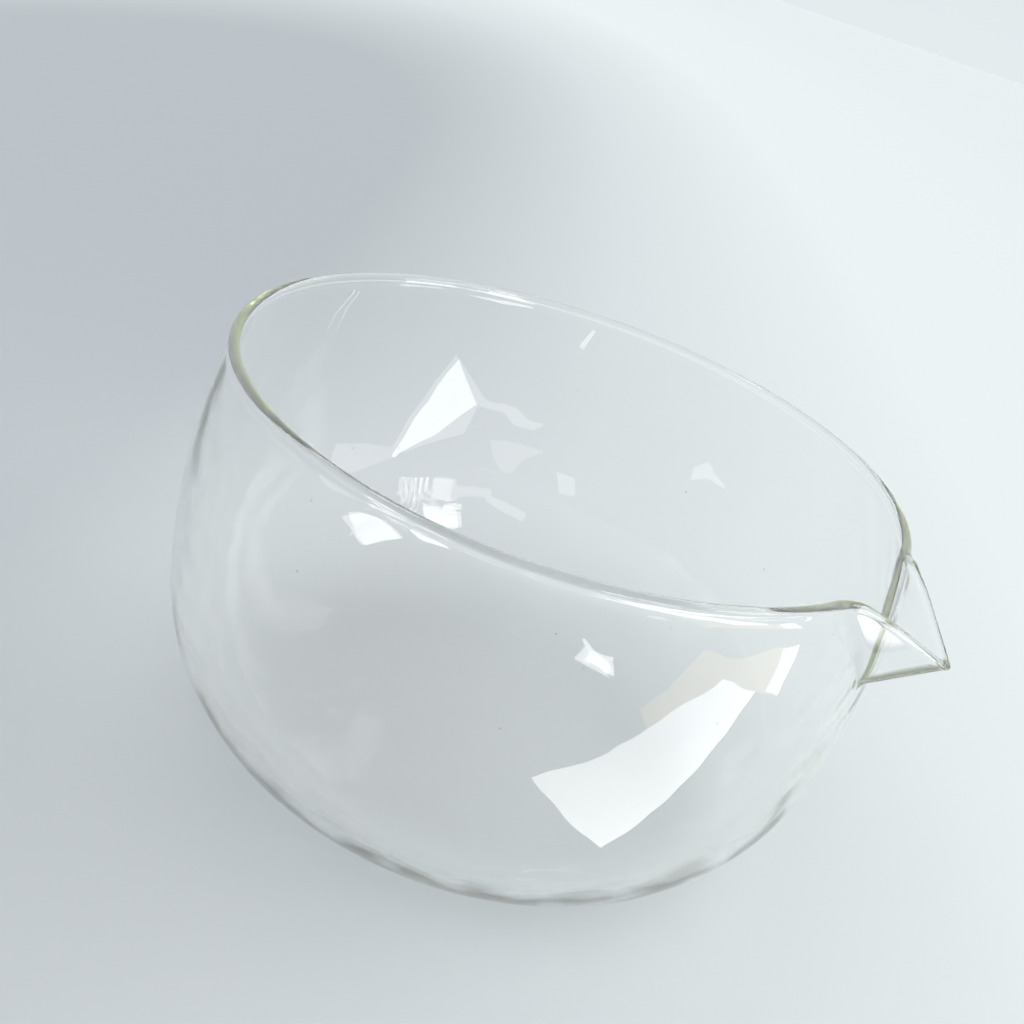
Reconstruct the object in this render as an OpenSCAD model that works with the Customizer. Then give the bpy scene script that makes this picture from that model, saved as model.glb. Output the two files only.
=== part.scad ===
// Blown glass mixing bowl with a pulled pouring spout.
// The origin is the centre of the flat base, +Z is up and the spout points along +X.
// The bowl is one piece of glass. Its five zones are separate solids that meet on plane cuts.

/* [Bowl] */
// Outer radius of the wall at the mouth
mouth_r = 60; // [55:0.5:65]
// How far the belly stands out past the mouth
belly_swell = 2.9; // [2:0.1:4]
// How far the lip turns out over its last few millimetres
lip_flare = 0.8; // [0.4:0.1:1]
// Height from the table to the edge of the mouth
bowl_h = 75; // [70:1:80]
// Height of the widest part of the belly
belly_z = 46; // [42:1:48]
// Radius of the heel, the curve from the side wall down to the flat base
heel_r = 36; // [30:1:38]
// Height of the thick lower zone that counts as the base
base_zone_h = 10; // [8:1:14]

/* [Glass] */
// Thickness of the blown side wall
wall_t = 1.6; // [1.3:0.1:2]
// Thickness of the flat base
base_t = 2; // [1.8:0.1:3]
// How much thicker than the wall the fire-polished edge is
bead_swell = 0.3; // [0.2:0.05:0.6]

/* [Spout] */
// How far the tip reaches out past the mouth
spout_reach = 13.4; // [10:0.1:14]
// How far the tip hangs below the edge of the mouth
spout_drop = 7.2; // [5:0.1:9]
// Angle between the spout's middle and each flank, seen from above
flank_angle = 29; // [27:1:34]
// Angle between the keel under the spout and the vertical
keel_angle = 46; // [42:1:50]
// Thickness of the glass in the spout's flanks, thinned by the pull
flank_t = 0.8; // [0.7:0.05:1]
// Thickness of the glass along the keel, measured level
keel_t = 1.3; // [1.1:0.05:1.6]

/* [Hidden] */

// The outer section is two arcs: a long one up the side and the heel's, which is tangent to it
// and to the table. The inner section is two arcs as well, and the base is where they draw apart.
// Both arcs up the side turn out a little just below the lip.
belly_r = mouth_r + belly_swell;
side_rise = belly_swell + lip_flare;
side_r = (side_rise * side_rise + pow(bowl_h - belly_z, 2)) / (2 * side_rise);
side_x = belly_r - side_r;
inner_heel_r = heel_r - (wall_t + base_t) / 2;
heel_top_z = joint_height(side_r, heel_r, heel_r);
flare_z = bowl_h - 3;

// The fire-polished edge is a round bead on the middle of the wall
bead_r = (wall_t + bead_swell) / 2;
bead_z = bowl_h - bead_r;
bead_x = (wall_r(bead_z) + bore_r(bead_z)) / 2;

// Where the spout's tip is, and how its surface blends into the wall
tip_r = mouth_r + spout_reach;
tip_z = bowl_h - spout_drop;
keel_softness = 0.7;    // degrees over which the keel's edge is rounded, outside
valley_softness = 0.45; // the same for the valley inside
keel_blend = 0.8;       // fillet between keel and wall, at the foot of the spout
shoulder_blend = 4;     // fillet between flanks and wall, at the mouth
thinning_run = 5;       // distance out from the wall over which the glass thins

// The zone that the spout takes out of the wall: its lowest height and its half angle
spout_z = tip_z - (tip_r - belly_r + shoulder_blend) / tan(keel_angle);
crest_r = tip_r + spout_drop * tan(keel_angle);
spout_span = asin(crest_r * sin(flank_angle) / (mouth_r - shoulder_blend - wall_t / 2))
    - flank_angle + keel_softness;
dip_span = 0.65 * spout_span;   // half angle over which the lip dips
dip_power = 1.3;                // how late the dip sets in

// Mesh fineness of the spout
ring_half = 26;       // rings on each side of the keel
ring_crowding = 1.35; // how much closer the rings are near the keel
rows = 24;            // steps up each face of the wall
lip_steps = 8;        // steps around the lip, an even number
probe = 0.02;         // step of the difference that gives a section's direction

glass = [0.84, 0.9, 0.87, 0.45];
edge_glass = [0.62, 0.7, 0.6, 0.7];
$fn = 240;
arc_fn = 720;

// ---- The plain wall ----

// How far the wall has turned out at height z
function flare(z) = lip_flare * pow(max(0, (z - flare_z) / (bowl_h - flare_z)), 2);

// Outer and inner radius of the side wall at height z
function wall_r(z) = side_x + sqrt(side_r * side_r - pow(z - belly_z, 2)) + flare(z);
function bore_r(z) = side_x + sqrt(pow(side_r - wall_t, 2) - pow(z - belly_z, 2)) + flare(z);

// Height at which a heel arc runs into a side arc, from their radii and the heel centre's height
function joint_height(side, heel, heel_z) = belly_z - (belly_z - heel_z) * side / (side - heel);

// Solid section under a side arc, a heel arc and a flat floor
module filled_section(side, heel, floor_z) {
    heel_z = floor_z + heel;
    heel_x = side_x + sqrt(pow(side - heel, 2) - pow(belly_z - heel_z, 2));
    joint_z = joint_height(side, heel, heel_z);
    intersection() {
        translate([side_x, belly_z]) circle(r = side, $fn = arc_fn);
        translate([0, joint_z]) square([belly_r + 1, bowl_h]);
    }
    intersection() {
        union() {
            translate([heel_x, heel_z]) circle(r = heel, $fn = arc_fn);
            translate([0, floor_z]) square([heel_x, heel]);
        }
        translate([0, floor_z]) square([belly_r + 1, joint_z - floor_z]);
    }
}

// Section of the glass between two heights, below the flare
module glass_section(low_z, high_z) {
    intersection() {
        difference() {
            filled_section(side_r, heel_r, 0);
            filled_section(side_r - wall_t, inner_heel_r, base_t);
        }
        translate([0, low_z]) square([belly_r + 1, high_z - low_z]);
    }
}

// Section of the turned-out lip with its bead
module lip_section() {
    steps = 8;
    heights = [for (i = [0 : steps]) flare_z + (bead_z - flare_z) * i / steps];
    polygon(concat(
        [for (z = heights) [wall_r(z), z]],
        [for (i = [steps : -1 : 0]) [bore_r(heights[i]), heights[i]]]
    ));
    translate([bead_x, bead_z]) circle(r = bead_r, $fn = 48);
}

// ---- The spout ----
// Its sections stand in upright planes through the bowl's axis, at angle a from the keel

// Size of an angle, rounded near zero
function soft_angle(a, softness) = sqrt(a * a + softness * softness) - softness;

// Radius of a V of two flat flanks that lean out with the keel. Inset moves it inwards.
function flank_r(a, z, inset, softness) = (tip_r - inset + (z - tip_z) * tan(keel_angle))
    * sin(flank_angle) / sin(flank_angle + soft_angle(a, softness));

// The larger of two values, with a fillet where they cross
function soft_max(a, b, k) = max(a, b) + pow(max(k - abs(a - b), 0), 2) / (4 * k);

// Size of the fillet, which widens from the keel's foot up to the mouth
function blend(z) = keel_blend
    + (shoulder_blend - keel_blend) * (z - spout_z) / (bowl_h - spout_z);

// Radius of the glass outside and inside
function skin_r(a, z) = soft_max(wall_r(z), flank_r(a, z, 0, keel_softness), blend(z));
function lining_r(a, z) = soft_max(bore_r(z), flank_r(a, z, keel_t, valley_softness), blend(z));

// Height of the lip, which dips to the tip
function lip_z(a) = bowl_h
    - spout_drop * pow(max(0, 1 - soft_angle(a, keel_softness) / dip_span), dip_power);

// Half the height of the rounded lip, smaller the further the glass was pulled out
function pull(a) = min(1, (skin_r(a, lip_z(a)) - wall_r(lip_z(a))) / thinning_run);
function lip_r(a) = (wall_t + bead_swell - (wall_t - flank_t) * pow(pull(a), 2) * (3 - 2 * pull(a))) / 2;

// Middle of the section, and its direction upwards, as radius and height
function middle(a, z) = [(skin_r(a, z) + lining_r(a, z)) / 2, z];
function unit(v) = v / norm(v);
function up_dir(a, z) = unit(middle(a, z + probe) - middle(a, z - probe));

// Closed section at angle a: up the outside, round the lip, down the inside
function section(a) =
    let (
        z = lip_z(a) - lip_r(a),
        up = up_dir(a, z),
        across = [up[1], -up[0]],
        half_t = (skin_r(a, z) - lining_r(a, z)) / 2 * up[1],
        half_lip = half_t + bead_swell / 2,
        neck_angle = 180 - asin(half_t / half_lip),
        neck_z = z + lip_r(a) * cos(neck_angle) * up[1],
        skin_top = neck_z - half_t * up[0],
        lining_top = neck_z + half_t * up[0]
    )
    concat(
        [for (i = [0 : rows])
            let (h = spout_z + (skin_top - spout_z) * i / rows) [skin_r(a, h), h]],
        [for (i = [1 : lip_steps])
            let (b = neck_angle * (1 - 2 * i / (lip_steps + 1)))
            middle(a, z) + lip_r(a) * cos(b) * up + half_lip * sin(b) * across],
        [for (i = [rows : -1 : 0])
            let (h = spout_z + (lining_top - spout_z) * i / rows) [lining_r(a, h), h]]
    );

// The same section as points in space
function ring(a) = [for (p = section(a)) [p[0] * cos(a), p[0] * sin(a), p[1]]];

// Angle of ring i, with the rings closer together near the keel
function ring_angle(i) = spout_span * sign(i) * pow(abs(i) / ring_half, ring_crowding);

module spout_shell() {
    rings = [for (i = [-ring_half : ring_half]) ring(ring_angle(i))];
    size = len(rings[0]);
    last = (len(rings) - 1) * size;
    sides = [for (i = [0 : len(rings) - 2], j = [0 : size - 1])
        let (a = i * size + j, b = i * size + (j + 1) % size)
        each [[a, b, a + size], [b, b + size, a + size]]];
    first_end = [for (j = [0 : size / 2 - 2])
        each [[j, size - 1 - j, j + 1], [j + 1, size - 1 - j, size - 2 - j]]];
    last_end = [for (f = first_end) [last + f[0], last + f[2], last + f[1]]];
    polyhedron(points = [for (r = rings) each r], faces = concat(sides, first_end, last_end));
}

// ---- The five zones ----

module bowl_base() {
    color(glass) rotate_extrude() glass_section(0, base_zone_h);
}

module bowl_heel() {
    color(glass) rotate_extrude() glass_section(base_zone_h, heel_top_z);
}

module bowl_wall() {
    color(glass) difference() {
        rotate_extrude() glass_section(heel_top_z, flare_z);
        translate([0, 0, spout_z]) linear_extrude(bowl_h)
            polygon([[0, 0], for (s = [-1, 1]) 2 * belly_r * [cos(spout_span), s * sin(spout_span)]]);
    }
}

module rim_bead() {
    color(edge_glass) rotate([0, 0, spout_span]) rotate_extrude(angle = 360 - 2 * spout_span)
        lip_section();
}

module pouring_spout() {
    color(glass) spout_shell();
}

bowl_base();
bowl_heel();
bowl_wall();
rim_bead();
pouring_spout();
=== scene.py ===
"""Looks of the blown glass mixing bowl: one seamless glass, a graded pale floor, light and a camera.

Everything is in metres in the CAD frame: the origin is the middle of the flat base, +Z is up and
the pouring spout points along +X.
"""

import math

import bpy
import numpy as np
from mathutils import Matrix, Vector


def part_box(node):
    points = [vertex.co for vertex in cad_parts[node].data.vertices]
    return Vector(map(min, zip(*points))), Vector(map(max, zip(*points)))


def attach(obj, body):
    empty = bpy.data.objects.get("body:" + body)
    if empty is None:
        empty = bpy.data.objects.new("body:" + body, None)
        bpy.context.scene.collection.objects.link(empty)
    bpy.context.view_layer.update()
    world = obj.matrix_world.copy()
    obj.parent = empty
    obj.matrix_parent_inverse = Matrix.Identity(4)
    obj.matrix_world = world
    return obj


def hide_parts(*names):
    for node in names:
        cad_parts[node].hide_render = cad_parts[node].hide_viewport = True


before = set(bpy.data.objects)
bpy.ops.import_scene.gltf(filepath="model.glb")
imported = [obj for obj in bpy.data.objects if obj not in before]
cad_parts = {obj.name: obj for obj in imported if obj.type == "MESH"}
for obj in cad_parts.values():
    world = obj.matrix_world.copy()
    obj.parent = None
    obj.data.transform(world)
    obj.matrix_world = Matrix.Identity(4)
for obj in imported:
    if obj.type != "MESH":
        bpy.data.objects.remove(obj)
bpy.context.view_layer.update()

MM = 0.001

# ---------------------------------------------------------------- sizes, from the frame

BOWL_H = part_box("rim_bead")[1].z
BELLY_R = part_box("bowl_wall")[1].y
FLOOR_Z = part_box("bowl_base")[0].z

BELLY_SWELL = 2.9 * MM            # how far the belly stands out past the mouth
FLARE = 0.8 * MM                  # how far the lip turns out
FLARE_Z = BOWL_H - 3 * MM
MOUTH_R = BELLY_R - BELLY_SWELL   # outer radius of the wall at the mouth
BELLY_Z = 46 * MM                 # height of the widest part
HEEL_R = 36 * MM                  # radius of the heel's curve
WALL_T = 1.6 * MM
BASE_T = 2.0 * MM
BEAD_SWELL = 0.3 * MM             # how much thicker than the wall the polished edge is
SPOUT_DROP = 7.2 * MM             # how far the lip dips at the tip
TIP_R = MOUTH_R + 13.4 * MM       # where the crest of the keel would meet the lip, unrounded
FLANK_ANGLE = math.radians(29)    # between the spout's middle and each flank, from above
FLANK_LIMIT = 1.2                 # angle from the keel past which the flanks play no part
KEEL_SLOPE = math.tan(math.radians(46))   # how far the keel leans out from upright
FLANK_T = 0.8 * MM                # glass in the flanks, thinned by the pull
KEEL_T = 1.3 * MM                 # glass along the keel, measured level
KEEL_SOFTNESS = math.radians(0.7)      # rounding of the keel's edge outside
VALLEY_SOFTNESS = math.radians(0.45)   # and of the valley inside
KEEL_BLEND = 0.8 * MM             # fillet between keel and wall
SHOULDER_BLEND = 4 * MM           # fillet between flanks and wall, at the mouth
THINNING_RUN = 5 * MM             # distance out from the wall over which the glass thins

SIDE_RISE = BELLY_SWELL + FLARE
SIDE_R = (SIDE_RISE ** 2 + (BOWL_H - BELLY_Z) ** 2) / (2 * SIDE_RISE)
SIDE_X = BELLY_R - SIDE_R
INNER_SIDE_R = SIDE_R - WALL_T
INNER_HEEL_R = HEEL_R - (WALL_T + BASE_T) / 2
TIP_Z = BOWL_H - SPOUT_DROP
SPOUT_Z = TIP_Z - (TIP_R - BELLY_R + SHOULDER_BLEND) / KEEL_SLOPE
KEEL_FOOT_Z = TIP_Z - (TIP_R - BELLY_R) / KEEL_SLOPE
CREST_R = TIP_R + SPOUT_DROP * KEEL_SLOPE
SPOUT_SPAN = (
    math.asin(CREST_R * math.sin(FLANK_ANGLE) / (MOUTH_R - SHOULDER_BLEND - WALL_T / 2))
    - FLANK_ANGLE + KEEL_SOFTNESS
)
DIP_SPAN = 0.65 * SPOUT_SPAN      # half angle over which the lip dips
DIP_POWER = 1.3                   # how late the dip sets in


# ---------------------------------------------------------------- the shape of the glass

def wall_radius(z, side_r):
    """Radius of the side at height z: a long arc that turns out a little at the lip."""
    flare = np.clip((z - FLARE_Z) / (BOWL_H - FLARE_Z), 0, 1) ** 2
    return SIDE_X + np.sqrt(side_r ** 2 - (z - BELLY_Z) ** 2) + FLARE * flare


def soft_angle(a, softness):
    """Size of an angle, rounded near zero."""
    return np.sqrt(a * a + softness * softness) - softness


def flank_radius(a, z, inset, softness):
    """Radius of a V of two flat flanks that lean out with the keel."""
    reach = TIP_R - inset + (z - TIP_Z) * KEEL_SLOPE
    turned = np.minimum(soft_angle(a, softness), FLANK_LIMIT)
    return reach * math.sin(FLANK_ANGLE) / np.sin(FLANK_ANGLE + turned)


def soft_max(a, b, k):
    """The larger of two values, with a fillet where they cross."""
    return np.maximum(a, b) + np.maximum(k - np.abs(a - b), 0) ** 2 / (4 * k)


def fillet(z):
    """Size of the fillet, which widens from the keel's foot up to the mouth."""
    share = np.clip((z - SPOUT_Z) / (BOWL_H - SPOUT_Z), 0, 1)
    return KEEL_BLEND + (SHOULDER_BLEND - KEEL_BLEND) * share


def skin_radius(a, z):
    """Radius of the outside at angle a from the keel."""
    return soft_max(wall_radius(z, SIDE_R), flank_radius(a, z, 0, KEEL_SOFTNESS), fillet(z))


def lining_radius(a, z):
    """Radius of the inside."""
    valley = flank_radius(a, z, KEEL_T, VALLEY_SOFTNESS)
    return soft_max(wall_radius(z, INNER_SIDE_R), valley, fillet(z))


def lip_height(a):
    """Height of the lip, which dips to the spout's tip."""
    dip = np.maximum(0, 1 - soft_angle(a, KEEL_SOFTNESS) / DIP_SPAN)
    return BOWL_H - SPOUT_DROP * dip ** DIP_POWER


def lip_radius(a):
    """Half the height of the rounded edge, smaller where the glass was pulled out."""
    z = lip_height(a)
    pull = np.clip((skin_radius(a, z) - wall_radius(z, SIDE_R)) / THINNING_RUN, 0, 1)
    return (WALL_T + BEAD_SWELL - (WALL_T - FLANK_T) * pull ** 2 * (3 - 2 * pull)) / 2


# Steps of the section across the base, up the heel, up the side and round the lip
BASE_STEPS, HEEL_STEPS, SIDE_STEPS, LIP_STEPS = 10, 44, 84, 18
PROBE = 0.02 * MM                 # step of the difference that gives the wall's direction


def heel_arc(side_r, heel_r, floor_z):
    """Points of the heel's curve, from the edge of the flat up to where the side's arc begins."""
    heel_z = floor_z + heel_r
    heel_x = SIDE_X + math.sqrt((side_r - heel_r) ** 2 - (BELLY_Z - heel_z) ** 2)
    end = -math.asin((BELLY_Z - heel_z) / (side_r - heel_r))
    t = np.linspace(-math.pi / 2, end, HEEL_STEPS + 1)
    return heel_x + heel_r * np.cos(t), heel_z + heel_r * np.sin(t)


def half_section(side_r, heel_r, floor_z, a, top_z, radius):
    """From the middle of the base out and up to the neck under the lip, at angle a."""
    heel_x, heel_z = heel_arc(side_r, heel_r, floor_z)
    base_x = np.linspace(0, heel_x[0], BASE_STEPS + 1)[1:-1]
    side_z = np.linspace(heel_z[-1], top_z, SIDE_STEPS + 1)[1:]
    r = np.concatenate([base_x, heel_x, radius(a, side_z)])
    z = np.concatenate([np.full(len(base_x), floor_z), heel_z, side_z])
    return r, z


def section(a):
    """Closed section of the glass at angle a: radius and height of each point, outside first."""
    edge = float(lip_radius(a))
    z = float(lip_height(a)) - edge

    def middle(h):
        return np.array([(skin_radius(a, h) + lining_radius(a, h)) / 2, h])

    up = middle(z + PROBE) - middle(z - PROBE)
    up /= np.linalg.norm(up)
    across = np.array([up[1], -up[0]])
    half_t = float(skin_radius(a, z) - lining_radius(a, z)) / 2 * up[1]
    half_lip = half_t + BEAD_SWELL / 2
    neck = math.pi - math.asin(half_t / half_lip)
    neck_z = z + edge * math.cos(neck) * up[1]
    turn = neck * (1 - 2 * np.arange(1, LIP_STEPS + 1) / (LIP_STEPS + 1))
    lip = middle(z) + np.outer(edge * np.cos(turn), up) + np.outer(half_lip * np.sin(turn), across)
    out_r, out_z = half_section(SIDE_R, HEEL_R, 0.0, a, neck_z - half_t * up[0], skin_radius)
    in_r, in_z = half_section(INNER_SIDE_R, INNER_HEEL_R, BASE_T, a, neck_z + half_t * up[0],
                              lining_radius)
    r = np.concatenate([out_r, lip[:, 0], in_r[::-1]])
    z = np.concatenate([out_z, lip[:, 1], in_z[::-1]])
    return r, z


def ripple(a, s, waves):
    """Smooth unevenness from a sum of waves round the bowl (a) and up its wall (s)."""
    total = np.zeros_like(s)
    for turns, pitch, phase in waves:
        total += np.sin(turns * a + phase) * np.sin(2 * math.pi * s / (pitch * MM) + 2.4 * phase)
    return total / math.sqrt(len(waves))


# Turns round the bowl, pitch up the wall in mm, and phase
SLOW_WAVES = [(3, 63, 0.4), (5, 47, 1.9), (7, 39, 3.1), (2, 55, 4.4)]
FINE_WAVES = [(17, 14.3, 0.3), (23, 11.1, 1.7), (29, 17.9, 2.9), (13, 9.7, 4.1), (37, 12.6, 5.3),
              (31, 8.3, 0.9)]
BAND_WAVES = [(11, 88, 0.3), (17, 71, 1.7), (7, 112, 2.9), (23, 96, 4.1)]
SLOW_OUT, SLOW_IN = 0.05 * MM, 0.07 * MM      # depth of the slow waves outside and inside
BANDS = 0.03 * MM                             # depth of the upright bands, inside only
FINE_UP, FINE_LOW = 0.008 * MM, 0.045 * MM    # depth of the fine waves up the wall and at the heel
FINE_SPOUT = 0.09 * MM                        # and how much deeper they are where the spout was pulled
LATHE_RING, LATHE_PITCH = 0.004 * MM, 6.1     # the faint turning rings outside


def unevenness(grid):
    """Offsets of hand-blown glass: each face wanders a little, most where the base was worked."""
    n, m = grid.shape[:2]
    along = np.zeros_like(grid)
    along[:, 1:-1] = grid[:, 2:] - grid[:, :-2]
    along[:, 0], along[:, -1] = grid[:, 1] - grid[:, 0], grid[:, -1] - grid[:, -2]
    a = np.arctan2(grid[..., 1], grid[..., 0])
    out = np.stack([np.cos(a), np.sin(a), np.zeros_like(a)], axis=-1)
    side = np.stack([-np.sin(a), np.cos(a), np.zeros_like(a)], axis=-1)
    normal = np.cross(side, along)
    normal /= np.linalg.norm(normal, axis=-1, keepdims=True)
    # Distance up the wall from the middle of the base, on each face
    step = np.linalg.norm(np.diff(grid, axis=1), axis=-1)
    run = np.concatenate([np.zeros((n, 1)), np.cumsum(step, axis=1)], axis=1)
    half = m // 2
    s = np.where(np.arange(m)[None, :] < half, run, run[:, -1:] - run)
    inner = np.arange(m)[None, :] >= half
    z = grid[..., 2]
    r = np.hypot(grid[..., 0], grid[..., 1])
    low = np.clip(1 - z / (34 * MM), 0, 1)
    low = low * low * (3 - 2 * low)
    fine = FINE_UP + (FINE_LOW - FINE_UP) * low
    near_spout = (np.clip(1 - np.abs(a) / math.radians(55), 0, 1)
                  * np.clip((z - 40 * MM) / (20 * MM), 0, 1))
    fine = fine + FINE_SPOUT * near_spout
    axis_fade = np.clip(r / (14 * MM), 0, 1) ** 2
    foot_fade = np.where(inner, 1.0, np.clip((z - 0.4 * MM) / (6 * MM), 0, 1))
    spout_fade = 1 - np.clip((r - (BELLY_R + 1 * MM)) / (3 * MM), 0, 1)
    d = np.where(
        inner,
        SLOW_IN * ripple(a + 0.7, s, SLOW_WAVES) + fine * ripple(a, s, FINE_WAVES)
        + BANDS * ripple(a + 1.3, s, BAND_WAVES),
        SLOW_OUT * ripple(a, s, SLOW_WAVES) + 0.25 * fine * ripple(a + 2.1, s, FINE_WAVES)
        + LATHE_RING * np.sin(2 * math.pi * s / (LATHE_PITCH * MM)),
    )
    d = d * axis_fade * foot_fade * spout_fade
    offsets = (normal * d[..., None]).reshape(-1, 3)
    return np.concatenate([offsets, np.zeros((2, 3))])


def ring_angles():
    """Angles of the sections: close together along the keel, even round the rest."""
    half, crowding, even_step = 46, 1.5, math.radians(1.15)
    near = SPOUT_SPAN * 1.1 * (np.arange(half + 1) / half) ** crowding
    count = int(round((math.pi - near[-1]) / even_step))
    far = np.linspace(near[-1], math.pi, count + 1)[1:]
    side = np.concatenate([near, far])
    return np.concatenate([side, -side[1:-1][::-1]])


# Air seeds in the wall: angle in degrees, height and half length in mm
SEEDS = [(-16, 29.5, 0.26), (-98, 22, 0.30), (-60, 51, 0.16), (22, 38, 0.2), (75, 17, 0.22),
         (118, 56, 0.18), (163, 33, 0.24), (-141, 44, 0.2)]
SEED_TURNS, SEED_STEPS = 16, 8


def seed(rings, angle, height, size):
    """A closed bubble in the middle of the wall, drawn out round the bowl. Its faces look inwards."""
    half = rings.shape[1] // 2
    angles = np.arctan2(rings[:, half - 1, 1], rings[:, half - 1, 0])
    i = int(np.argmin(np.abs(np.angle(np.exp(1j * (angles - angle))))))
    j = int(np.argmin(np.abs(rings[i, :half, 2] - height) + 1e3 * (rings[i, :half, 2] <= 0)))
    middle = (rings[i, j] + rings[i, -1 - j]) / 2
    along = np.array([-math.sin(angles[i]), math.cos(angles[i]), 0])
    up = rings[i, j + 1] - rings[i, j]
    up /= np.linalg.norm(up)
    frame_axes = np.array([along * size, up * size * 0.6, np.cross(along, up) * size * 0.5])
    turns = 2 * math.pi * np.arange(SEED_TURNS) / SEED_TURNS
    points = [[0, -1, 0]]
    for tilt in math.pi * np.arange(1, SEED_STEPS) / SEED_STEPS:
        points += [[math.sin(tilt) * math.cos(t), -math.cos(tilt), math.sin(tilt) * math.sin(t)]
                   for t in turns]
    points.append([0, 1, 0])
    last = len(points) - 1
    faces = []
    for k in range(SEED_TURNS):
        after = (k + 1) % SEED_TURNS
        faces.append((0, 1 + after, 1 + k))
        for row in range(SEED_STEPS - 2):
            a, b = 1 + row * SEED_TURNS, 1 + (row + 1) * SEED_TURNS
            faces.append((a + k, a + after, b + after, b + k))
        a = 1 + (SEED_STEPS - 2) * SEED_TURNS
        faces.append((a + k, a + after, last))
    return middle + np.array(points) @ frame_axes, faces


def build_bowl():
    """The whole glass as one closed mesh, with its seeds as closed bubbles inside."""
    angles = ring_angles()
    rings = []
    for a in angles:
        r, z = section(abs(a))
        rings.append(np.stack([r * math.cos(a), r * math.sin(a), z], axis=1))
    rings = np.array(rings)
    n, m = rings.shape[:2]
    verts = np.concatenate([rings.reshape(-1, 3), [[0, 0, 0], [0, 0, BASE_T]]])
    verts += unevenness(rings)
    i, j = np.meshgrid(np.arange(n), np.arange(m - 1), indexing="ij")
    k = (i + 1) % n
    quads = np.stack([i * m + j, k * m + j, k * m + j + 1, i * m + j + 1], axis=-1).reshape(-1, 4)
    ring = np.arange(n)
    after = (ring + 1) % n
    under, inside = n * m, n * m + 1
    floor_fan = np.stack([after * m, ring * m, np.full(n, under)], axis=1)
    inner_fan = np.stack([ring * m + m - 1, after * m + m - 1, np.full(n, inside)], axis=1)
    faces = quads.tolist() + floor_fan.tolist() + inner_fan.tolist()
    for angle, height, size in SEEDS:
        points, shell = seed(rings, math.radians(angle), height * MM, size * MM)
        faces += [[len(verts) + k for k in face] for face in shell]
        verts = np.concatenate([verts, points])
    mesh = bpy.data.meshes.new("glass_bowl")
    mesh.from_pydata(verts.tolist(), [], faces)
    mesh.validate()
    mesh.shade_smooth()
    bowl = bpy.data.objects.new("glass_bowl", mesh)
    bpy.context.scene.collection.objects.link(bowl)
    return bowl


# ---------------------------------------------------------------- materials

def new_material(name):
    material = bpy.data.materials.new(name)
    material.use_nodes = True
    nodes = material.node_tree.nodes
    nodes.clear()
    return material, nodes, material.node_tree.links


def noise(nodes, links, place, scale, detail):
    texture = nodes.new("ShaderNodeTexNoise")
    texture.inputs["Scale"].default_value = scale
    texture.inputs["Detail"].default_value = detail
    links.new(place, texture.inputs["Vector"])
    return texture.outputs["Fac"]


def remap(nodes, links, value, low, high, to_low, to_high, smooth=True):
    """Maps low..high onto to_low..to_high, with soft ends unless smooth is off."""
    step = nodes.new("ShaderNodeMapRange")
    step.interpolation_type = "SMOOTHSTEP" if smooth else "LINEAR"
    for name, number in zip(("From Min", "From Max", "To Min", "To Max"), (low, high, to_low, to_high)):
        step.inputs[name].default_value = number
    links.new(value, step.inputs["Value"])
    return step.outputs["Result"]


def math_node(nodes, links, operation, *values):
    """A Math node. Each value is a number, written as a float, or another node's output."""
    node = nodes.new("ShaderNodeMath")
    node.operation = operation
    for socket, value in zip(node.inputs, values):
        if isinstance(value, float):
            socket.default_value = value
        else:
            links.new(value, socket)
    return node.outputs[0]


BOROSILICATE_IOR = 1.474
GLASS_TINT, TINT_DENSITY = (0.70, 0.76, 0.49), 10.5   # olive, seen only along the glass
# Painted shade: the crease is coloured olive grey to stand in for the dark line along the keel, and
# CREASE_HAZE is how much of the crease shows that colour in place of clear glass
PAINTED_CREASE_SHADE = (0.33, 0.36, 0.26)
CREASE_ROUGHNESS, CREASE_HAZE, GRAZING_HAZE = 0.12, 0.4, 0.05
POLISH_DEPTH = 0.004 * MM


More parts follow.
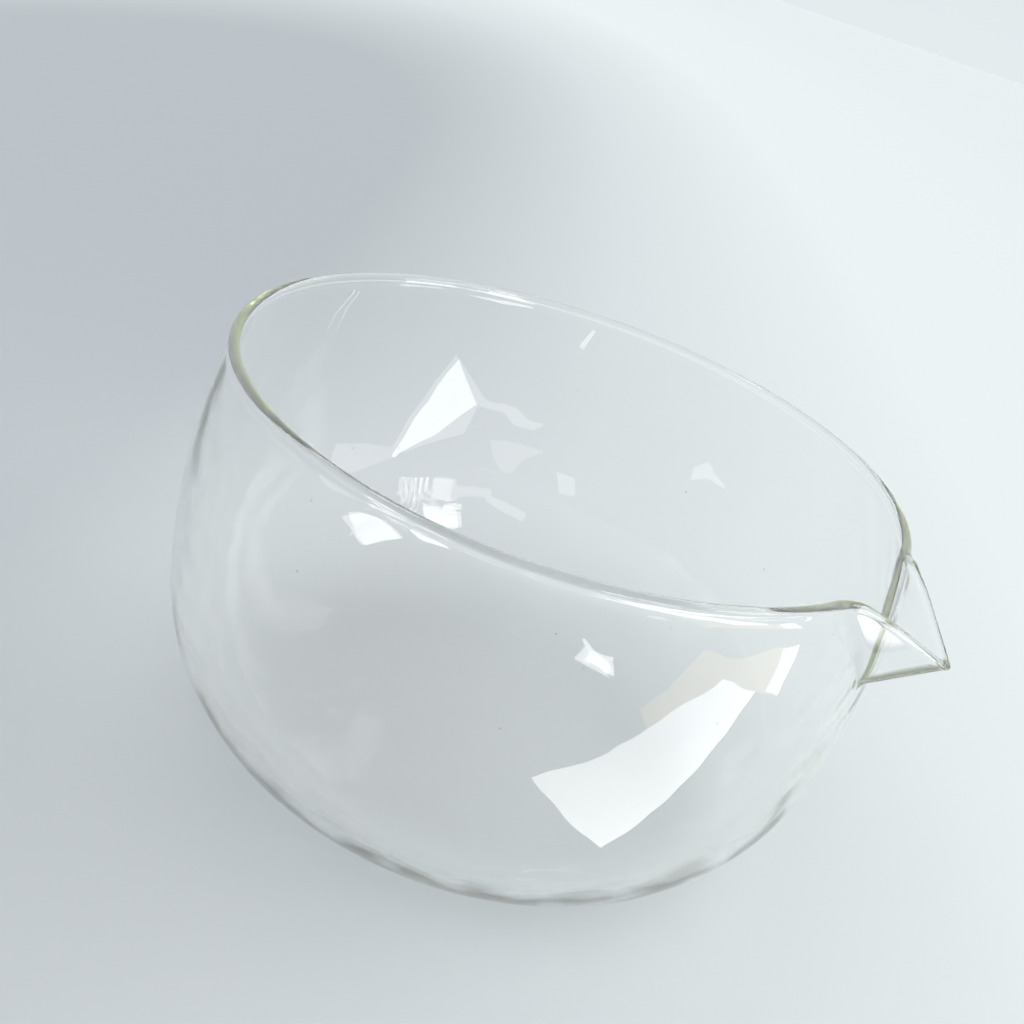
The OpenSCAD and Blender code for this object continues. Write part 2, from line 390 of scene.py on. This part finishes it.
def glass_material():
    """Clear blown glass: faint smears, a fire-polished ripple and a few specks of dust.

    Where the spout was creased, and a little where light grazes it, the surface scatters. That lets
    out light that would run round inside the wall. Along the crease the colour is painted shade, an
    olive grey in place of the dark line that light inside the glass gives the keel.
    """
    material, nodes, links = new_material("clear_borosilicate")
    out = nodes.new("ShaderNodeOutputMaterial")
    shader = nodes.new("ShaderNodeBsdfPrincipled")
    shader.inputs["IOR"].default_value = BOROSILICATE_IOR
    place = nodes.new("ShaderNodeTexCoord").outputs["Object"]

    smear = noise(nodes, links, place, 38, 5)
    smeared = remap(nodes, links, smear, 0.52, 0.72, 0.0, 0.05)
    axes = nodes.new("ShaderNodeSeparateXYZ")
    links.new(place, axes.inputs["Vector"])
    offset = math_node(nodes, links, "ABSOLUTE", axes.outputs["Y"])
    near_middle = remap(nodes, links, offset, 0.4 * MM, 1.0 * MM, 1.0, 0.0)
    past_wall = remap(nodes, links, axes.outputs["X"], BELLY_R - 3 * MM, BELLY_R - 1 * MM, 0.0, 1.0)
    above_foot = remap(nodes, links, axes.outputs["Z"], KEEL_FOOT_Z - 1 * MM, KEEL_FOOT_Z + 1.5 * MM,
                       0.0, 1.0)
    crease = math_node(nodes, links, "MULTIPLY", near_middle, past_wall)
    crease = math_node(nodes, links, "MULTIPLY", crease, above_foot)
    strained = math_node(nodes, links, "MULTIPLY", crease, CREASE_ROUGHNESS)
    links.new(math_node(nodes, links, "MAXIMUM", smeared, strained), shader.inputs["Roughness"])

    slant = nodes.new("ShaderNodeLayerWeight")
    slant.inputs["Blend"].default_value = 0.5
    bloom = math_node(nodes, links, "MULTIPLY", slant.outputs["Facing"], GRAZING_HAZE)
    haze = math_node(nodes, links, "ADD", bloom, math_node(nodes, links, "MULTIPLY", crease, CREASE_HAZE))
    links.new(math_node(nodes, links, "SUBTRACT", 1.0, haze), shader.inputs["Transmission Weight"])

    specks = nodes.new("ShaderNodeTexVoronoi")
    specks.inputs["Scale"].default_value = 95
    links.new(place, specks.inputs["Vector"])
    dust = nodes.new("ShaderNodeValToRGB")
    dust.color_ramp.elements[0].position = 0.018
    dust.color_ramp.elements[0].color = (0.42, 0.39, 0.35, 1)
    dust.color_ramp.elements[1].position = 0.026
    dust.color_ramp.elements[1].color = (1, 1, 1, 1)
    links.new(specks.outputs["Distance"], dust.inputs["Fac"])
    # Real dust specks, and in the crease an olive grey of painted shade
    shade = nodes.new("ShaderNodeMix")
    shade.data_type = "RGBA"
    links.new(crease, shade.inputs["Factor"])
    links.new(dust.outputs["Color"], shade.inputs[6])
    shade.inputs[7].default_value = (*PAINTED_CREASE_SHADE, 1)
    links.new(shade.outputs[2], shader.inputs["Base Color"])

    polish = nodes.new("ShaderNodeBump")
    polish.inputs["Strength"].default_value = 1.0
    polish.inputs["Distance"].default_value = POLISH_DEPTH
    links.new(noise(nodes, links, place, 420, 2), polish.inputs["Height"])
    links.new(polish.outputs["Normal"], shader.inputs["Normal"])
    links.new(shader.outputs["BSDF"], out.inputs["Surface"])

    tint = nodes.new("ShaderNodeVolumeAbsorption")
    tint.inputs["Color"].default_value = (*GLASS_TINT, 1)
    tint.inputs["Density"].default_value = TINT_DENSITY
    links.new(tint.outputs["Volume"], out.inputs["Volume"])
    return material


# Tones of the floor, from the shaded middle outwards, tuned to the photograph's backdrop
FLOOR_TONES = [(0.06, (0.50, 0.53, 0.56)), (0.10, (0.57, 0.60, 0.625)), (0.145, (0.645, 0.675, 0.70)),
               (0.18, (0.70, 0.735, 0.755)), (0.25, (0.76, 0.80, 0.815)), (0.33, (0.82, 0.86, 0.875)),
               (1.0, (0.80, 0.84, 0.855))]
SHADE_AT, SHADE_TURN, SHADE_STRETCH = (-0.25, -0.10, 0), math.radians(26.8), (1, 5, 1)


def floor_material():
    """Matt pale paint with painted shade and light: darkest in a long oval, lighter away from it."""
    material, nodes, links = new_material("pale_floor")
    out = nodes.new("ShaderNodeOutputMaterial")
    paint = nodes.new("ShaderNodeBsdfDiffuse")
    paint.inputs["Roughness"].default_value = 0.5
    place = nodes.new("ShaderNodeTexCoord").outputs["Object"]
    around = nodes.new("ShaderNodeMapping")
    around.vector_type = "TEXTURE"
    around.inputs["Location"].default_value = SHADE_AT
    around.inputs["Rotation"].default_value = (0, 0, SHADE_TURN)
    around.inputs["Scale"].default_value = SHADE_STRETCH
    distance = nodes.new("ShaderNodeVectorMath")
    distance.operation = "LENGTH"
    # Painted shade and light: these tones darken the middle of the floor and lighten its edges
    ramp = nodes.new("ShaderNodeValToRGB")
    elements = ramp.color_ramp.elements
    while len(elements) < len(FLOOR_TONES):
        elements.new(0.5)
    for element, (position, color) in zip(elements, FLOOR_TONES):
        element.position = position
        element.color = (*color, 1)
    links.new(place, around.inputs["Vector"])
    links.new(around.outputs["Vector"], distance.inputs[0])
    reach = remap(nodes, links, distance.outputs["Value"], 0.1, 1.1, 0, 1, smooth=False)
    links.new(reach, ramp.inputs["Fac"])
    links.new(ramp.outputs["Color"], paint.inputs["Color"])
    links.new(paint.outputs["BSDF"], out.inputs["Surface"])
    return material


def glow_material(name, color, strength, soft):
    """Light from the front of a card, nothing from its back. With soft it fades out to the edges."""
    material, nodes, links = new_material(name)
    out = nodes.new("ShaderNodeOutputMaterial")
    glow = nodes.new("ShaderNodeEmission")
    glow.inputs["Color"].default_value = (*color, 1)
    glow.inputs["Strength"].default_value = strength
    if soft:
        offset = nodes.new("ShaderNodeVectorMath")
        offset.operation = "SUBTRACT"
        links.new(nodes.new("ShaderNodeTexCoord").outputs["Generated"], offset.inputs[0])
        offset.inputs[1].default_value = (0.5, 0.5, 0.5)
        spread = nodes.new("ShaderNodeVectorMath")
        spread.operation = "LENGTH"
        links.new(offset.outputs["Vector"], spread.inputs[0])
        fading = remap(nodes, links, spread.outputs["Value"], 0.1, 0.7, strength, 0.0)
        links.new(fading, glow.inputs["Strength"])
    mix = nodes.new("ShaderNodeMixShader")
    links.new(nodes.new("ShaderNodeNewGeometry").outputs["Backfacing"], mix.inputs["Fac"])
    links.new(glow.outputs["Emission"], mix.inputs[1])
    links.new(nodes.new("ShaderNodeBsdfTransparent").outputs["BSDF"], mix.inputs[2])
    links.new(mix.outputs["Shader"], out.inputs["Surface"])
    return material


# ---------------------------------------------------------------- the set

FLOOR_HALF = 12.0
FLOOR_GAP = 0.15 * MM   # between the floor and the flat of the base


def build_floor():
    half = FLOOR_HALF
    z = FLOOR_Z - FLOOR_GAP
    mesh = bpy.data.meshes.new("floor")
    corners = [(-half, -half, z), (half, -half, z), (half, half, z), (-half, half, z)]
    mesh.from_pydata(corners, [], [(0, 1, 2, 3)])
    floor = bpy.data.objects.new("floor", mesh)
    bpy.context.scene.collection.objects.link(floor)
    floor.data.materials.append(floor_material())


def sky():
    """Soft room light: pale round the horizon, a little darker overhead."""
    world = bpy.data.worlds.new("room")
    bpy.context.scene.world = world
    world.use_nodes = True
    nodes, links = world.node_tree.nodes, world.node_tree.links
    nodes.clear()
    out = nodes.new("ShaderNodeOutputWorld")
    background = nodes.new("ShaderNodeBackground")
    coords = nodes.new("ShaderNodeTexCoord")
    split = nodes.new("ShaderNodeSeparateXYZ")
    ramp = nodes.new("ShaderNodeValToRGB")
    ramp.color_ramp.elements[0].position = 0.0
    ramp.color_ramp.elements[0].color = (0.78, 0.84, 0.86, 1)
    ramp.color_ramp.elements[1].position = 1.0
    ramp.color_ramp.elements[1].color = (0.45, 0.48, 0.49, 1)
    links.new(coords.outputs["Generated"], split.inputs["Vector"])
    links.new(split.outputs["Z"], ramp.inputs["Fac"])
    links.new(ramp.outputs["Color"], background.inputs["Color"])
    links.new(remap(nodes, links, split.outputs["X"], -1.0, -0.4, 0.6, 1.0), background.inputs["Strength"])
    links.new(background.outputs["Background"], out.inputs["Surface"])


def window_light(name, at, toward, size, power):
    data = bpy.data.lights.new(name, "AREA")
    data.shape = "RECTANGLE"
    data.size, data.size_y = size
    data.energy = power
    light = bpy.data.objects.new(name, data)
    light.location = at
    light.rotation_euler = (Vector(toward) - Vector(at)).to_track_quat("-Z", "Y").to_euler()
    light.visible_camera = light.visible_diffuse = False
    bpy.context.scene.collection.objects.link(light)


def glint_card(name, corners, toward, strength, color=(1, 1, 1), through=False, soft=False):
    """A card lit on the side that faces toward. It only shows as a reflection in the glass.

    With through it also shows past a second wall of the bowl, as a far window does.
    """
    mesh = bpy.data.meshes.new(name)
    mesh.from_pydata([tuple(c * MM for c in p) for p in corners], [], [tuple(range(len(corners)))])
    if mesh.polygons[0].normal.dot(Vector(toward)) < 0:
        mesh.flip_normals()
    card = bpy.data.objects.new(name, mesh)
    card.visible_camera = card.visible_diffuse = card.visible_shadow = False
    card.visible_volume_scatter = False
    card.visible_transmission = through
    card.data.materials.append(glow_material(name, color, strength, soft))
    bpy.context.scene.collection.objects.link(card)


def pane(name, y0, y1, z0, z1, strength):
    """One pane of the far window, an upright rectangle a metre off on the +X side."""
    corners = [(y0, z0), (y1, z0), (y1, z1), (y0, z1)]
    glint_card(name, [(1000, y, z) for y, z in corners], LEFT, strength, through=True)


def ceiling_light():
    """Even light from above, which doesn't show in the glass."""
    data = bpy.data.lights.new("ceiling", "SUN")
    data.energy = 1.65
    data.angle = math.radians(90)
    data.color = (1, 0.966, 0.938)
    ceiling = bpy.data.objects.new("ceiling", data)
    bpy.context.scene.collection.objects.link(ceiling)
    ceiling.visible_camera = ceiling.visible_glossy = ceiling.visible_transmission = False


CAMERA_AT = Vector((86.0, -175.3, 147.5)) * MM
CAMERA_TOWARD = Vector((-0.4180, 0.7952, -0.4392))
CAMERA_ROLL = math.radians(18.65)
SENSOR, FOCAL = 36.0, 42.1875   # mm


def build_camera():
    """A hand-held close-up, looking down into the mouth with the camera rolled."""
    data = bpy.data.cameras.new("camera")
    data.sensor_width = SENSOR
    data.lens = FOCAL
    data.clip_start = 0.01
    camera = bpy.data.objects.new("camera", data)
    turn = CAMERA_TOWARD.to_track_quat("-Z", "Y").to_matrix() @ Matrix.Rotation(CAMERA_ROLL, 3, "Z")
    camera.matrix_world = Matrix.Translation(CAMERA_AT) @ turn.to_4x4()
    bpy.context.scene.collection.objects.link(camera)
    bpy.context.scene.camera = camera


# ---------------------------------------------------------------- build it

bowl = build_bowl()
bowl.visible_shadow = False
bowl.data.materials.append(glass_material())
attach(bowl, "root")
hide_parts("bowl_base", "bowl_heel", "bowl_wall", "rim_bead", "pouring_spout")

build_floor()
sky()
ceiling_light()
window_light("lamp", (-0.37, 0.0, 0.93), (0, 0.04, 0.01), (0.22, 0.15), 0.8)

# Cards that imitate the room's window, curtain and glints. Corners are in mm.
# These outlines are not designed. A ray tracer worked most of them out from where the highlights lie
# in the photograph, so they only look right from the camera, and they say nothing about the glass.
# The two even quads, LEFT_STREAK and SPOUT_GLOW, were set to show in the same way.
UP, LEFT, BACK = (0, 0, 1), (-1, 0, 0), (-0.7, 0.7, 0)
CREAM = (1, 0.80, 0.50)
WINDOW = [(289, -22), (249, 24), (162, -9), (118, -26), (75, -42), (80, -88), (129, -79), (169, -74),
          (231, -54)]
CURTAIN = [(480, -70), (400, 0), (360, 127), (208, 49), (249, 24), (289, -22), (231, -54), (169, -74),
           (190, -95), (336, -92), (476, -90)]
CURTAIN_EDGE = [(361, 85), (362, 127), (208, 49), (236, 36)]
glint_card("low_window", [(x, y, 1.0) for x, y in WINDOW], UP, 7)
glint_card("low_curtain", [(x, y, 1.0) for x, y in CURTAIN], UP, 2.6, CREAM)
glint_card("low_edge", [(x, y, 1.5) for x, y in CURTAIN_EDGE], UP, 5)

# The panes are plain rectangles, placed so that they show where the photograph has them
SLATS, SLAT_PITCH, SLAT_WIDTH, SLAT_FROM = 5, 46, 26, -300
for i in range(SLATS):
    left = SLAT_FROM + SLAT_PITCH * i
    pane(f"slat_{i}", left, left + SLAT_WIDTH, 60, 400, 4.5)
pane("pane_side", -510, -330, 60, 400, 3.75)
pane("pane_top", -560, -260, 450, 860, 6)
pane("pane_near", 0, 400, 430, 1010, 6)

FRINGE = [(-39.3, 27.1, 28.6), (-38.4, 30.6, 40.3), (-36.5, 32.5, 49.3), (-35.6, 33.9, 47.4),
          (-32.3, 35.9, 42.3), (-32.4, 35.4, 37.9), (-32.3, 34.9, 34.5), (-37.0, 29.2, 29.0)]
CORE = [(-39.3, 27.1, 28.6), (-38.4, 30.6, 40.3), (-36.5, 32.5, 49.3), (-36.2, 33.1, 47.9),
        (-32.7, 35.3, 40.8), (-35.9, 31.8, 33.5), (-38.6, 27.6, 28.6)]
SILL = [(-45.3, 19.9, 30.3), (-38.9, 28.1, 30.4), (-37.6, 27.5, 28.3), (-45.2, 18.5, 26.5)]
RIGHT_STREAK = [(-36.5, 30.1, 64.8), (-33.1, 33.3, 65.6), (-28.8, 35.1, 66.7), (-28.8, 35.9, 64.3),
                (-33.8, 34.3, 62.3)]
LEFT_STREAK = [(-45, 20.5, 68.5), (-37, 27, 68.5), (-37, 27, 66), (-45, 20.5, 66)]
SHORT_STREAK = [(-22.9, 41.6, 61.5), (-22.4, 41.9, 61.3), (-23.2, 41.9, 57.3), (-23.7, 41.4, 57.5)]
WHITE_PATCH = [(-29.5, 36.8, 34.5), (-28.6, 37.4, 35.0), (-25.5, 39.4, 35.3), (-22.9, 40.8, 35.5),
               (-25.1, 38.8, 32.3), (-25.1, 37.9, 29.8), (-26.6, 36.9, 29.5), (-28.5, 36.8, 32.1)]
LOW_PATCH = [(-16.2, 26.2, 29.8), (-15.8, 26.2, 30.0), (-15.1, 25.8, 31.5), (-13.3, 26.3, 32.1),
             (-13.4, 26.7, 33.3), (-14.8, 26.4, 33.2), (-16.0, 25.7, 31.3)]
RIGHT_PATCH = [(-20.7, 41.4, 32.5), (-18.6, 42.4, 32.5), (-17.6, 41.9, 29.6), (-17.9, 41.4, 29.4),
               (-19.4, 41.1, 29.5)]
FRINGE_GAP = 0.6   # how far the fringe stands behind the window's core
glint_card("inner_fringe", [(x + FRINGE_GAP, y - FRINGE_GAP, z) for x, y, z in FRINGE], BACK, 3)
glint_card("inner_window", CORE, BACK, 9)
glint_card("inner_sill", SILL, BACK, 2.5)
glint_card("streak_right", RIGHT_STREAK, BACK, 7)
glint_card("streak_left", LEFT_STREAK, BACK, 5)
glint_card("streak_short", SHORT_STREAK, BACK, 5)
glint_card("patch_white", WHITE_PATCH, BACK, 2.2)
glint_card("patch_low", LOW_PATCH, BACK, 3)
glint_card("patch_right", RIGHT_PATCH, BACK, 3)

SPOUT_GLOW = [(66, -4.8, 56.1), (78, -4.8, 56.1), (78, -11.2, 60.9), (66, -11.2, 60.9)]
glint_card("spout_window", SPOUT_GLOW, (0, 0.6, 0.8), 9, soft=True)

build_camera()
bpy.context.scene.view_settings.view_transform = "Standard"

# Light runs far inside the wall of a glass, so its paths need many turns
paths = bpy.context.scene.cycles
paths.max_bounces = 160
paths.glossy_bounces = 150
paths.transmission_bounces = 160
